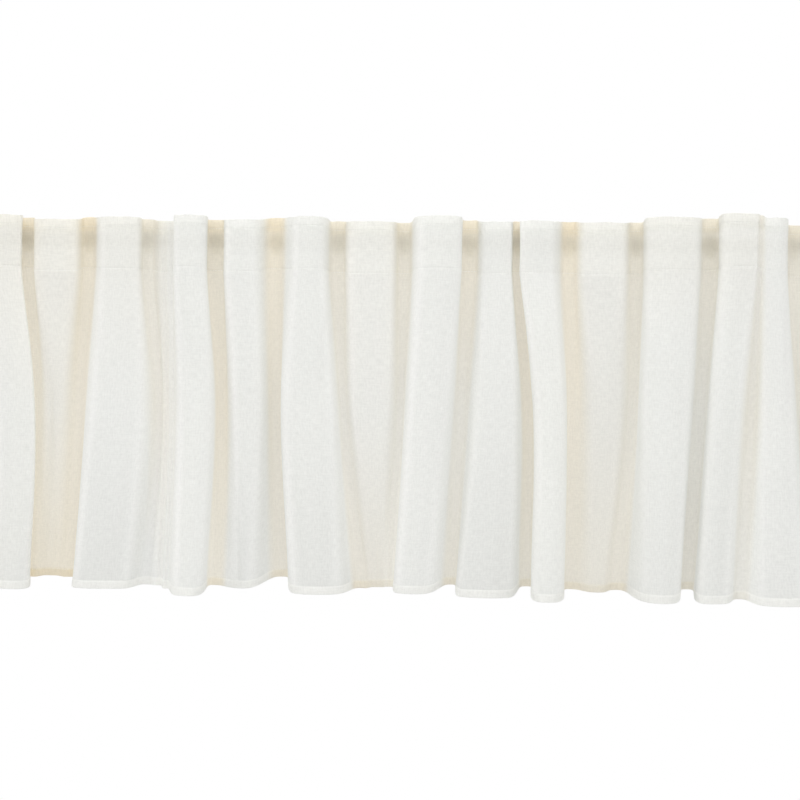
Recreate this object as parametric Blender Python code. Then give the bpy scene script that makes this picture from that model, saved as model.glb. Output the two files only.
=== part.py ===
"""A gathered window valance on a plain round curtain rod.

The valance is one length of semi-sheer cloth with a tape sewn along the back of its heading. Loops
on the tape carry it on the rod, one in each valley, and between them the cloth stands forward in
uneven folds that run on down to the hem.

The origin is on the rod's axis at the middle of its length. +X runs along the rod to the right,
-Y points out of the cloth's front into the room, and +Z is up. Sizes below are in millimetres.
"""

import math
from collections import namedtuple

import bmesh
import bpy
import numpy as np

MM = 0.001
GAP = 0.3

# Rod
ROD_RADIUS = 9.5
ROD_LENGTH = 1420
ROD_SIDES = 32

# Cloth and tape
CLOTH_THICK = 1.2
HEM_THICK = 2.2
TAPE_THICK = 1.0
ON_ROD = ROD_RADIUS + GAP + TAPE_THICK + GAP + CLOTH_THICK / 2

# Heights from the rod's axis, before a fold is hitched up or down
RUFFLE_TOP = 24
TAPE_TOP = 13
TAPE_FOOT = -46
WAIST = -235
HEM_FOOT = -476
HEM_HEIGHT = 11
HEM_STEP = 0.8
BODY_ROWS = (-105, -170, -240, -315, -395)

# Loops
LOOP_WIDTH = 10
LOOP_THICK = 1.0
LOOP_SEAT = 6
LOOP_REACH = 13.5
LOOP_ARC_STEPS = 8

# Shape of a fold's cross-section: steps across a valley, up to the crest, over it and down again
STEPS = (2, 4, 3, 4)
CREST_CROWN = 0.75
FLOOR_CROWN = 0.7
TAPE_STIFFNESS = 1.0

# How full its curve is at the start and the end of a valley, a rising wall, a crest, a falling wall
FULLNESS = ((1, 1), (0.7, 1.1), (1, 1), (1.1, 0.7))

# A fold is a crest and the valley on its right. x is the middle of each, half is half the width of
# its face, out is how far it stands in front of the rod's axis, and rise is how far the cloth is
# hitched up there.
Fold = namedtuple(
    "Fold", "crest_x crest_half crest_out crest_rise valley_x valley_half valley_out valley_rise"
)
Valley = namedtuple("Valley", "x half out rise")

# Folds at the heading, from left to right, after the valley at the left edge
HEADING_EDGE = Valley(-652, 15, ON_ROD, 1)
HEADING = (
    Fold(-619, 12, 43, 2, -591, 7, ON_ROD, 2),
    Fold(-535, 22, 38, 2, -512, 7, ON_ROD, 3),
    Fold(-464, 25, 35, -3, -427, 5, ON_ROD, 4),
    Fold(-376, 21, 40, 0, -345, 5, ON_ROD, 2),
    Fold(-323, 3, 22, -2, -308, 2, 31, -3),
    Fold(-281, 18, 47, 2, -253, 8, ON_ROD, 2),
    Fold(-215, 16, 39, -2, -171, 5, ON_ROD, 5),
    Fold(-122, 15, 49, 1, -86, 6, ON_ROD, 1),
    Fold(-41, 26, 37, -3, 3, 5, ON_ROD, 0),
    Fold(50, 24, 49, 3, 91, 7, ON_ROD, 4),
    Fold(127, 16, 32, -1, 157, 6, ON_ROD, 3),
    Fold(178, 19, 35, 0, 224, 5, ON_ROD, 3),
    Fold(267, 23, 37, -2, 314, 5, ON_ROD, 3),
    Fold(354, 28, 47, 4, 412, 7, ON_ROD, 9),
    Fold(441, 20, 50, 9, 468, 1, 45, 8),
    Fold(486, 11, 49, 4, 523, 6, ON_ROD, 1),
    Fold(566, 20, 43, 4, 634, 15, ON_ROD, 2),
)

# The same folds at the waist, a little above half-way down
WAIST_EDGE = Valley(-648, 9, 2, 0)
WAISTS = (
    Fold(-616, 12, 30, 0, -594, 6, -2, 0),
    Fold(-518, 22, 30, 0, -500, 5, 2, 0),
    Fold(-474, 9, 5, 0, -444, 5, -10, 0),
    Fold(-383, 31, 24, 0, -329, 4, 1, 0),
    Fold(-320, 3, 8, 0, -307, 2, 19, 0),
    Fold(-275, 18, 33, 0, -245, 5, -5, 0),
    Fold(-207, 15, 17, 0, -171, 6, -15, 0),
    Fold(-122, 29, 30, 0, -76, 4, 1, 0),
    Fold(-39, 22, 14, 0, 0, 4, -2, 0),
    Fold(37, 21, 30, 0, 83, 5, -8, 0),
    Fold(130, 21, 24, 0, 175, 5, -12, 0),
    Fold(199, 14, 35, 0, 235, 5, -11, 0),
    Fold(279, 16, 1, 0, 315, 5, -11, 0),
    Fold(351, 23, 37, 0, 406, 7, -7, 0),
    Fold(427, 14, 36, 0, 468, 4, 13, 0),
    Fold(496, 15, 33, 0, 545, 5, -8, 0),
    Fold(576, 19, 28, 0, 630, 8, 4, 0),
)

# The same folds at the hem
HEM_EDGE = Valley(-645, 10, -4, -2)
HEMS = (
    Fold(-614, 12, 30, -2, -588, 7, -11, 3),
    Fold(-524, 21, 26, -1, -513, 6, -20, 7),
    Fold(-486, 7, -22, 9, -459, 8, -24, 7),
    Fold(-406, 33, 13, -1, -347, 5, -6, 2),
    Fold(-327, 3, 4, 3, -314, 3, 15, 1),
    Fold(-280, 13, 41, -3, -253, 6, -11, 2),
    Fold(-214, 7, -3, 0, -163, 7, -36, 11),
    Fold(-111, 26, 17, -2, -51, 6, -28, -1),
    Fold(-28, 5, -22, 2, -12, 4, -15, 4),
    Fold(19, 17, 21, 2, 73, 5, -24, 7),
    Fold(117, 31, 11, -3, 177, 6, -27, 6),
    Fold(199, 14, 37, -2, 239, 7, -35, 2),
    Fold(274, 7, -27, 0, 302, 7, -36, 2),
    Fold(349, 16, 35, -1, 397, 7, -29, 6),
    Fold(418, 15, 26, -2, 458, 5, 7, 1),
    Fold(505, 22, 35, -2, 569, 6, -5, 0),
    Fold(589, 13, 27, -1, 634, 7, 5, -1),
)


def clear_scene():
    for item in list(bpy.data.objects):
        bpy.data.objects.remove(item, do_unlink=True)


def finish(name, color, roughness, metallic=0.0):
    """A plain Principled material."""
    material = bpy.data.materials.new(name)
    material.use_nodes = True
    shader = material.node_tree.nodes["Principled BSDF"]
    shader.inputs["Base Color"].default_value = (*color, 1.0)
    shader.inputs["Roughness"].default_value = roughness
    shader.inputs["Metallic"].default_value = metallic
    return material


def add_object(name, corners, faces, material, crease_deg=40):
    """An object from corners in millimetres, smooth but for edges sharper than crease_deg."""
    mesh = bpy.data.meshes.new(name)
    mesh.from_pydata((np.asarray(corners) * MM).tolist(), [], faces)
    mesh.materials.append(material)
    mesh.shade_smooth()
    mesh.set_sharp_from_angle(angle=math.radians(crease_deg))
    made = bpy.data.objects.new(name, mesh)
    bpy.context.collection.objects.link(made)
    return made


def stations(edge, folds):
    """x, out and rise at both sides of each valley and crest, from the left edge to the right."""
    rows = [
        (edge.x - edge.half, edge.out, edge.rise),
        (edge.x + edge.half, edge.out, edge.rise),
    ]
    for fold in folds:
        rows += [
            (fold.crest_x - fold.crest_half, fold.crest_out, fold.crest_rise),
            (fold.crest_x + fold.crest_half, fold.crest_out, fold.crest_rise),
            (fold.valley_x - fold.valley_half, fold.valley_out, fold.valley_rise),
            (fold.valley_x + fold.valley_half, fold.valley_out, fold.valley_rise),
        ]
    return np.array(rows, float)


def hermite(t, start, end, start_slope, end_slope):
    """A cubic from start to end with the given slopes, at t from 0 to 1."""
    return (
        start * (2 * t**3 - 3 * t**2 + 1)
        + start_slope * (t**3 - 2 * t**2 + t)
        + end * (3 * t**2 - 2 * t**3)
        + end_slope * (t**3 - t**2)
    )


def stations_at(height):
    """The stations at a height: as at the heading down to the tape's foot, and from there two
    smooth cubics through the waist to the hem, which leave the stiff tape gently."""
    heading = stations(HEADING_EDGE, HEADING)
    waist = stations(WAIST_EDGE, WAISTS)
    hem = stations(HEM_EDGE, HEMS)
    upper = TAPE_FOOT - WAIST
    lower = WAIST - HEM_FOOT
    waist_slope = (hem - heading) / (upper + lower)
    if height >= TAPE_FOOT:
        found = heading.copy()
    elif height >= WAIST:
        t = (TAPE_FOOT - height) / upper
        leaving = TAPE_STIFFNESS * (waist - heading)
        found = hermite(t, heading, waist, leaving, waist_slope * upper)
    else:
        t = (WAIST - height) / lower
        found = hermite(t, waist, hem, waist_slope * lower, hem - waist)
    down = np.clip((TAPE_FOOT - height) / (upper + lower), 0, 1)
    found[:, 2] = heading[:, 2] * (1 - down) + hem[:, 2] * down
    return found, down


def section(height):
    """The cloth's middle line at a height, as points (x, -out, z), and its outward normals.

    Each stretch between two stations is a cubic. Its end tangents lie along the line between the
    neighbouring stations, flattened so that crests and valleys are rounded but not peaked, and in
    the heading the valleys are quite level, because they lie flat on the rod."""
    found, down = stations_at(height)
    tangent = np.gradient(found[:, :2], axis=0)
    crown = np.full(len(found), CREST_CROWN)
    crown[0::4] = crown[1::4] = FLOOR_CROWN * min(1, 3 * down)
    tangent[:, 1] *= crown
    tangent /= np.linalg.norm(tangent, axis=1)[:, None]
    line = [found[:1]]
    for i in range(len(found) - 1):
        a, b = found[i], found[i + 1]
        length = np.linalg.norm((b - a)[:2])
        start_full, end_full = FULLNESS[i % 4]
        start_slope = tangent[i] * length * start_full
        end_slope = tangent[i + 1] * length * end_full
        t = np.linspace(0, 1, STEPS[i % 4] + 1)[1:, None]
        flat = hermite(t, a[:2], b[:2], start_slope, end_slope)
        rise = a[2] + (b[2] - a[2]) * (3 * t**2 - 2 * t**3)
        line.append(np.hstack([flat, rise]))
    line = np.vstack(line)
    points = np.column_stack([line[:, 0], -line[:, 1], height + line[:, 2]])
    along = np.gradient(points[:, :2], axis=0)
    along /= np.linalg.norm(along, axis=1)[:, None]
    normals = np.column_stack([along[:, 1], -along[:, 0], np.zeros(len(along))])
    return points, normals


def shell(heights, fronts, backs):
    """A closed sheet: at each height its front and back stand off the middle line by fronts and
    backs, and a rim joins the two along all four edges."""
    front, back = [], []
    for height, to_front, to_back in zip(heights, fronts, backs):
        points, normals = section(height)
        front.append(points + normals * to_front)
        back.append(points + normals * to_back)
    rows, columns = len(front), len(front[0])
    corners = np.vstack(front + back)
    size = rows * columns
    faces = []
    for r in range(rows - 1):
        for c in range(columns - 1):
            a = r * columns + c
            b = a + columns
            faces.append((a, b, b + 1, a + 1))
            faces.append((size + a, size + a + 1, size + b + 1, size + b))
    for c in range(columns - 1):
        foot = (rows - 1) * columns + c
        faces.append((c, c + 1, size + c + 1, size + c))
        faces.append((foot + 1, foot, size + foot, size + foot + 1))
    for r in range(rows - 1):
        left = r * columns
        right = left + columns - 1
        faces.append((left + columns, left, size + left, size + left + columns))
        faces.append((right, right + columns, size + right + columns, size + right))
    return corners, faces


def make_cloth(material):
    """The cloth, thicker where its bottom hem is turned up."""
    hem_top = HEM_FOOT + HEM_HEIGHT
    thin = [RUFFLE_TOP, TAPE_TOP, TAPE_FOOT, *BODY_ROWS, hem_top + HEM_STEP]
    thick = [hem_top, HEM_FOOT]
    halves = [CLOTH_THICK / 2] * len(thin) + [HEM_THICK / 2] * len(thick)
    corners, faces = shell(thin + thick, halves, [-half for half in halves])
    return add_object("valance_cloth", corners, faces, material)


def make_tape(material):
    """The heading tape, flat against the back of the cloth."""
    near = -CLOTH_THICK / 2 - GAP
    far = near - TAPE_THICK
    corners, faces = shell([TAPE_TOP, TAPE_FOOT], [near, near], [far, far])
    return add_object("heading_tape", corners, faces, material)


def loop_line():
    """The middle line of a loop from the side, as points (y, z): down the tape, straight back to
    the rod, round behind it, and the same again below."""
    seat_y = -(ROD_RADIUS - LOOP_THICK / 2)
    radius = ROD_RADIUS + GAP + LOOP_THICK / 2
    corner = math.hypot(seat_y, LOOP_REACH)
    touch = math.atan2(LOOP_REACH, seat_y) - math.acos(radius / corner)
    angles = np.linspace(touch, -touch, LOOP_ARC_STEPS + 1)
    arc = np.column_stack([np.cos(angles), np.sin(angles)]) * radius
    upper = [(seat_y, LOOP_REACH + LOOP_SEAT), (seat_y, LOOP_REACH)]
    lower = [(seat_y, -LOOP_REACH), (seat_y, -LOOP_REACH - LOOP_SEAT)]
    return np.vstack([upper, arc, lower])


def make_loop(name, x, material):
    """One loop: a flat strap bent along loop_line."""
    line = loop_line()
    steps = np.diff(line, axis=0)
    steps /= np.linalg.norm(steps, axis=1)[:, None]
    before = np.vstack([steps[:1], steps])
    after = np.vstack([steps, steps[-1:]])
    mitre = before + after
    mitre /= (mitre * before).sum(axis=1)[:, None]
    offset = np.column_stack([-mitre[:, 1], mitre[:, 0]]) * LOOP_THICK / 2
    outline = np.vstack([line + offset, (line - offset)[::-1]])
    count = len(outline)
    sides = []
    for side in (-1, 1):
        sides.append(np.column_stack([np.full(count, x + side * LOOP_WIDTH / 2), outline]))
    half = count // 2
    faces = []
    for i in range(count):
        j = (i + 1) % count
        faces.append((i, j, count + j, count + i))
    for i in range(half - 1):
        j = count - 1 - i
        faces.append((i, j, j - 1, i + 1))
        faces.append((count + i, count + i + 1, count + j - 1, count + j))
    made = add_object(name, np.vstack(sides), faces, material)
    shape = bmesh.new()
    shape.from_mesh(made.data)
    bmesh.ops.recalc_face_normals(shape, faces=shape.faces)
    shape.to_mesh(made.data)
    shape.free()
    return made


def make_loops(material):
    """A loop in each valley of the heading that lies on the rod."""
    places = [HEADING_EDGE.x]
    places += [fold.valley_x for fold in HEADING if fold.valley_out == ON_ROD]
    for number, x in enumerate(places, 1):
        make_loop(f"rod_loop_{number:02d}", x, material)


def make_rod(material):
    """The rod, a plain round bar along X."""
    shape = bmesh.new()
    bmesh.ops.create_cone(
        shape,
        cap_ends=True,
        segments=ROD_SIDES,
        radius1=ROD_RADIUS * MM,
        radius2=ROD_RADIUS * MM,
        depth=ROD_LENGTH * MM,
    )
    mesh = bpy.data.meshes.new("curtain_rod")
    shape.to_mesh(mesh)
    shape.free()
    mesh.materials.append(material)
    mesh.shade_smooth()
    mesh.set_sharp_from_angle(angle=math.radians(40))
    made = bpy.data.objects.new("curtain_rod", mesh)
    made.rotation_euler = (0, math.radians(90), 0)
    bpy.context.collection.objects.link(made)
    return made


def main():
    clear_scene()
    cloth = finish("off_white_cloth", (0.84, 0.82, 0.76), 0.9)
    tape = finish("heading_tape_weave", (0.72, 0.72, 0.70), 0.85)
    metal = finish("painted_rod", (0.45, 0.44, 0.42), 0.4)
    make_cloth(cloth)
    make_tape(tape)
    make_loops(tape)
    make_rod(metal)


main()
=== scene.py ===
"""A gathered, semi-sheer window valance on a plain curtain rod, in soft studio light.

The cloth is one length of off-white, linen-look plain weave. A woven tape is sewn along the back of
its heading, and loops on the tape carry it on the rod. The origin is on the rod's axis at the
middle of its length, +X runs along the rod and -Y points into the room. Tables are in millimetres.
"""

import math
from collections import namedtuple

import bmesh
import bpy
import numpy as np
from mathutils import Matrix, Vector


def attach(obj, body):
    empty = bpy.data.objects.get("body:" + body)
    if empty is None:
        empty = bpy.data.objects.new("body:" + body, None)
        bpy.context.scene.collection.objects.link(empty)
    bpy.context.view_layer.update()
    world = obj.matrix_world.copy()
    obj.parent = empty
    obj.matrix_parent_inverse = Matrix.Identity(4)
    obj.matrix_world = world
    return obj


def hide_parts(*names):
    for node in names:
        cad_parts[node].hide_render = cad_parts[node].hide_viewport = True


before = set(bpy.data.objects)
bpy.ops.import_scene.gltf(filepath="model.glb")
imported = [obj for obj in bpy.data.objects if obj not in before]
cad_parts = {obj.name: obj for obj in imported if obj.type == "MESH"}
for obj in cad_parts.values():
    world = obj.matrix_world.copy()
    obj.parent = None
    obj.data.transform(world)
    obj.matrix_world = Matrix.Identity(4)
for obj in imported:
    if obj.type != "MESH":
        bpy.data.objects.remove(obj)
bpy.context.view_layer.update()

MM = 0.001

# Rod
ROD_RADIUS = 9.5
ROD_LENGTH = 1420
ROD_EDGE = 0.8

# Cloth and tape
ON_ROD = 11.7
TAPE_OFFSET = -1.4
TAPE_HALF = 0.45

# Heights from the rod's axis
RUFFLE_TOP = 24
TURNED_EDGE = 6
TOP_SEAM = 12
TAPE_TOP = 13
TAPE_FOOT = -46
LOW_SEAM = -44.6
WAIST = -235
HEM_FOOT = -476
HEM_HEIGHT = 11
HEM_SEAM = HEM_FOOT + HEM_HEIGHT - 0.6
SIDE_HEM = 9

# How far the layers of a turned edge stand in front of and behind the cloth's middle
RUFFLE_LAYER = 0.35
HEM_LAYER = 0.5

# Shape of a fold's cross-section
CREST_CROWN = 0.75
FLOOR_CROWN = 0.7
TAPE_STIFFNESS = 1.0

# How full its curve is at the start and the end of a valley, a rising wall, a crest, a falling wall
FULLNESS = ((1, 1), (0.7, 1.1), (1, 1), (1.1, 0.7))

# Grid of the cloth: steps across a valley, up to the crest, over it and down again
ACROSS = (6, 12, 10, 12)

# Loops on the back of the tape
LOOP_WIDTH = 10
LOOP_THICK = 0.9
LOOP_SEAT = 6
LOOP_REACH = 13.5

# The solid strap's half thickness and its gap to the rod
LOOP_MIDDLE = 0.5
LOOP_GAP = 0.3

# Relief of the cloth
PUCKER = 0.40
FINE_PUCKER = 0.22
SEAM_TROUGH = 0.30
SEAM_TROUGH_WIDTH = 0.8
WAVE = 0.55
FINE_WAVE = 0.25
FRILL = 0.7
FRILL_LIFT = 0.45

# Sewing thread
STITCH_PITCH = 3.2
STITCH_LENGTH = 2.5
THREAD_RADIUS = 0.2

# Looks of the cloth, the tape and the rod
CLOTH_COLOR = (0.925, 0.93, 0.90)
# Painted highlight along the crests' edges and down their walls; also the paler double cloth of the
# ruffle and the hem
CLOTH_HIGHLIGHT_AND_DOUBLED_COLOR = (0.985, 0.985, 0.96)
# Painted shade in the valleys: the cloth turned a little darker and yellower there
CLOTH_VALLEY_SHADE_COLOR = (0.975, 0.905, 0.755)
# Painted grey shade, darker, mostly on the crests towards the hem
CLOTH_GREY_SHADE_COLOR = (0.84, 0.845, 0.815)
# How far the painted highlights reach over a crest and down a wall, and the fold depth at which they
# are full
EDGE_HIGHLIGHT_WIDTH = 4.5
WALL_HIGHLIGHT_WIDTH = 12
FULL_STEP = 20
RUFFLE_PALENESS = 0.6
HEM_PALENESS = 0.9
# Share of the painted highlight on a crest's right edge; the left edge's share is in the shade table
RIGHT_HIGHLIGHT_SHARE = 0.35
# How far the painted valley shade reaches out over the walls
VALLEY_SHADE_REACH = 14
CLOTH_GLOW = 0.38
CLOTH_OPEN = 0.05
VALLEY_OPEN = 0.12
CLOTH_SHEEN = 0.25
CLOTH_SLUB = 0.125
CLOTH_CLOUD = 0.03
CLOTH_THREADS = 900.0
TAPE_COLOR = (0.93, 0.925, 0.90)
TAPE_BORDER_COLOR = (0.88, 0.875, 0.86)
TAPE_GLOW = 0.6
TAPE_OPEN = 0.8
LOOP_OPEN = 0.3
TAPE_THREADS = 700.0
THREAD_COLOR = (0.93, 0.925, 0.90)
THREAD_PALE_COLOR = (0.98, 0.98, 0.96)
ROD_COLOR = (0.46, 0.44, 0.40)

# Studio
FLOOR_Z = -1.5
FLOOR_RADIUS = 1.75
BACKDROP = 1.0
HEAD_AMBIENT = 0.80
FOOT_AMBIENT = 0.36
KEY_POWER = 21.0
KEY_PLACE = (0.0, -1.3, 1.2)
KEY_SIZE = (2.4, 0.8)
SIDE_POWERS = (31.0, 22.0)
SIDE_PLACE = (4.0, -2.0, 0.3)
SIDE_SIZE = (1.4, 1.4)

# Camera: its distance from the rod's axis, the size of a pixel there, and its turn and tilt
CAMERA_DISTANCE = 1.380
PIXEL_AT_ROD = 0.00136
PICTURE_SIZE = 800
SENSOR_WIDTH = 36.0
ROD_PIXEL_ROW = 242
CAMERA_TURN = math.radians(2.0)
CAMERA_ROLL = math.radians(0.82)

# A fold is a crest and the valley on its right. x is the middle of each, half is half the width of
# its face, out is how far it stands in front of the rod's axis, and rise is how far the cloth is
# hitched up there.
Fold = namedtuple(
    "Fold", "crest_x crest_half crest_out crest_rise valley_x valley_half valley_out valley_rise"
)
Valley = namedtuple("Valley", "x half out rise")

# Folds at the heading, from left to right, after the valley at the left edge
HEADING_EDGE = Valley(-652, 15, ON_ROD, 1)
HEADING = (
    Fold(-619, 12, 43, 2, -591, 7, ON_ROD, 2),
    Fold(-535, 22, 38, 2, -512, 7, ON_ROD, 3),
    Fold(-464, 25, 35, -3, -427, 5, ON_ROD, 4),
    Fold(-376, 21, 40, 0, -345, 5, ON_ROD, 2),
    Fold(-323, 3, 22, -2, -308, 2, 31, -3),
    Fold(-281, 18, 47, 2, -253, 8, ON_ROD, 2),
    Fold(-215, 16, 39, -2, -171, 5, ON_ROD, 5),
    Fold(-122, 15, 49, 1, -86, 6, ON_ROD, 1),
    Fold(-41, 26, 37, -3, 3, 5, ON_ROD, 0),
    Fold(50, 24, 49, 3, 91, 7, ON_ROD, 4),
    Fold(127, 16, 32, -1, 157, 6, ON_ROD, 3),
    Fold(178, 19, 35, 0, 224, 5, ON_ROD, 3),
    Fold(267, 23, 37, -2, 314, 5, ON_ROD, 3),
    Fold(354, 28, 47, 4, 412, 7, ON_ROD, 9),
    Fold(441, 20, 50, 9, 468, 1, 45, 8),
    Fold(486, 11, 49, 4, 523, 6, ON_ROD, 1),
    Fold(566, 20, 43, 4, 634, 15, ON_ROD, 2),
)

# The same folds at the waist, a little above half-way down
WAIST_EDGE = Valley(-648, 9, 2, 0)
WAISTS = (
    Fold(-616, 12, 30, 0, -594, 6, -2, 0),
    Fold(-518, 22, 30, 0, -500, 5, 2, 0),
    Fold(-474, 9, 5, 0, -444, 5, -10, 0),
    Fold(-383, 31, 24, 0, -329, 4, 1, 0),
    Fold(-320, 3, 8, 0, -307, 2, 19, 0),
    Fold(-275, 18, 33, 0, -245, 5, -5, 0),
    Fold(-207, 15, 17, 0, -171, 6, -15, 0),
    Fold(-122, 29, 30, 0, -76, 4, 1, 0),
    Fold(-39, 22, 14, 0, 0, 4, -2, 0),
    Fold(37, 21, 30, 0, 83, 5, -8, 0),
    Fold(130, 21, 24, 0, 175, 5, -12, 0),
    Fold(199, 14, 35, 0, 235, 5, -11, 0),
    Fold(279, 16, 1, 0, 315, 5, -11, 0),
    Fold(351, 23, 37, 0, 406, 7, -7, 0),
    Fold(427, 14, 36, 0, 468, 4, 13, 0),
    Fold(496, 15, 33, 0, 545, 5, -8, 0),
    Fold(576, 19, 28, 0, 630, 8, 4, 0),
)

# The same folds at the hem
HEM_EDGE = Valley(-645, 10, -4, -2)
HEMS = (
    Fold(-614, 12, 30, -2, -588, 7, -11, 3),
    Fold(-524, 21, 26, -1, -513, 6, -20, 7),
    Fold(-486, 7, -22, 9, -459, 8, -24, 7),
    Fold(-406, 33, 13, -1, -347, 5, -6, 2),
    Fold(-327, 3, 4, 3, -314, 3, 15, 1),
    Fold(-280, 13, 41, -3, -253, 6, -11, 2),
    Fold(-214, 7, -3, 0, -163, 7, -36, 11),
    Fold(-111, 26, 17, -2, -51, 6, -28, -1),
    Fold(-28, 5, -22, 2, -12, 4, -15, 4),
    Fold(19, 17, 21, 2, 73, 5, -24, 7),
    Fold(117, 31, 11, -3, 177, 6, -27, 6),
    Fold(199, 14, 37, -2, 239, 7, -35, 2),
    Fold(274, 7, -27, 0, 302, 7, -36, 2),
    Fold(349, 16, 35, -1, 397, 7, -29, 6),
    Fold(418, 15, 26, -2, 458, 5, 7, 1),
    Fold(505, 22, 35, -2, 569, 6, -5, 0),
    Fold(589, 13, 27, -1, 634, 7, 5, -1),
)

# Soft ridges, and troughs where height is negative. Each runs from top to foot, which count the
# folds from 1: 4.5 is the middle of the fourth fold's crest, 4.0 and 5.0 the middles of the valleys
# on its left and right.
Crease = namedtuple("Crease", "top top_z foot foot_z width height")
CREASES = (
    Crease(2.3, -95, 2.62, -215, 9, 1.6),
    Crease(4.34, -75, 4.45, -205, 7, 1.4),
    Crease(6.36, -60, 6.55, -250, 8, -0.9),
    Crease(8.72, -32, 8.50, -200, 5, 1.8),
    Crease(8.40, -55, 8.28, -170, 8, -1.2),
    Crease(10.62, -50, 10.50, -300, 8, 0.9),
    Crease(14.30, -60, 14.45, -190, 8, 1.3),
    Crease(15.55, -50, 15.50, -210, 9, -1.0),
    Crease(16.55, -60, 16.60, -240, 6, 1.4),
    Crease(12.50, -70, 12.50, -320, 9, 0.8),
)

# Painted shade on each fold's crest and in the valley on its right, up to 1: the cloth painted a
# little darker and yellower, as light that has passed from layer to layer of the cloth is yellower.
# Less than 0 is a painted grey shade instead. The last column is how strong the painted highlight
# along the left edge of its crest is. The first row is the left edge's.
Tone = namedtuple(
    "Tone", "crest_head crest_waist crest_hem valley_head valley_waist valley_hem left_edge"
)
SHADE_TONES = (
    Tone(0.0, 0.0, 0.0, 0.6, 0.6, 0.3, 0.0),
    Tone(0.0, 0.0, -0.3, 0.6, 0.6, 0.3, 1.0),
    Tone(0.2, 0.0, -0.4, 0.8, 0.7, 1.0, 0.8),
    Tone(0.2, 0.3, 1.0, 1.0, 0.8, 1.0, 0.1),
    Tone(0.1, 0.0, -0.8, 0.5, 0.4, -0.1, 0.8),
    Tone(0.2, 0.4, 0.1, 0.1, 0.2, 0.0, 0.0),
    Tone(0.0, 0.0, -0.2, 0.8, 0.8, 0.6, 1.0),
    Tone(0.0, 0.0, -0.4, 1.0, 0.6, 0.6, 1.0),
    Tone(0.0, 0.0, -0.7, 0.6, 0.3, 0.6, 0.9),
    Tone(0.1, 0.1, 0.5, 0.6, 0.3, 0.4, 0.7),
    Tone(0.0, 0.0, -0.2, 0.8, 0.3, 0.5, 0.9),
    Tone(0.0, -0.2, -0.8, 0.8, 0.7, 0.5, 0.1),
    Tone(0.0, 0.0, -0.1, 1.0, 0.8, 0.6, 0.9),
    Tone(0.1, 0.2, 0.5, 0.6, 0.4, 0.6, 0.0),
    Tone(0.1, -0.1, -0.4, 0.6, 0.2, 0.4, 0.1),
    Tone(0.1, -0.1, -0.5, 0.3, 0.4, 0.2, 0.4),
    Tone(0.0, 0.0, -0.5, 0.6, 0.4, 0.3, 0.1),
    Tone(0.0, 0.0, -0.4, 0.5, 0.5, 0.3, 1.0),
)


def hermite(t, start, end, start_slope, end_slope):
    """A cubic from start to end with the given slopes, at t from 0 to 1."""
    return (
        start * (2 * t**3 - 3 * t**2 + 1)
        + start_slope * (t**3 - 2 * t**2 + t)
        + end * (3 * t**2 - 2 * t**3)
        + end_slope * (t**3 - t**2)
    )


def stations(edge, folds):
    """x, out and rise at both sides of each valley and crest, from the left edge to the right."""
    rows = [
        (edge.x - edge.half, edge.out, edge.rise),
        (edge.x + edge.half, edge.out, edge.rise),
    ]
    for fold in folds:
        rows += [
            (fold.crest_x - fold.crest_half, fold.crest_out, fold.crest_rise),
            (fold.crest_x + fold.crest_half, fold.crest_out, fold.crest_rise),
            (fold.valley_x - fold.valley_half, fold.valley_out, fold.valley_rise),
            (fold.valley_x + fold.valley_half, fold.valley_out, fold.valley_rise),
        ]
    return np.array(rows, float)


def stations_at(heights):
    """The stations at each height, as an array of heights by stations by (x, out, rise).

    They are as at the heading down to the tape's foot, and from there follow two smooth cubics
    through the waist to the hem, which leave the stiff tape gently."""
    heading = stations(HEADING_EDGE, HEADING)
    waist = stations(WAIST_EDGE, WAISTS)
    hem = stations(HEM_EDGE, HEMS)
    upper = TAPE_FOOT - WAIST
    lower = WAIST - HEM_FOOT
    z = np.asarray(heights, float)[:, None, None]
    slope = (hem - heading) / (upper + lower)
    leaving = TAPE_STIFFNESS * (waist - heading)
    t_upper = np.clip((TAPE_FOOT - z) / upper, 0, 1)
    t_lower = np.clip((WAIST - z) / lower, 0, 1)
    above = hermite(t_upper, heading, waist, leaving, slope * upper)
    below = hermite(t_lower, waist, hem, slope * lower, hem - waist)
    found = np.where(z >= WAIST, above, below)
    down = np.clip((TAPE_FOOT - z) / (upper + lower), 0, 1)
    found[:, :, 2] = (heading[:, 2] * (1 - down[:, :, 0])) + hem[:, 2] * down[:, :, 0]
    return found, down[:, 0, 0]


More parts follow.
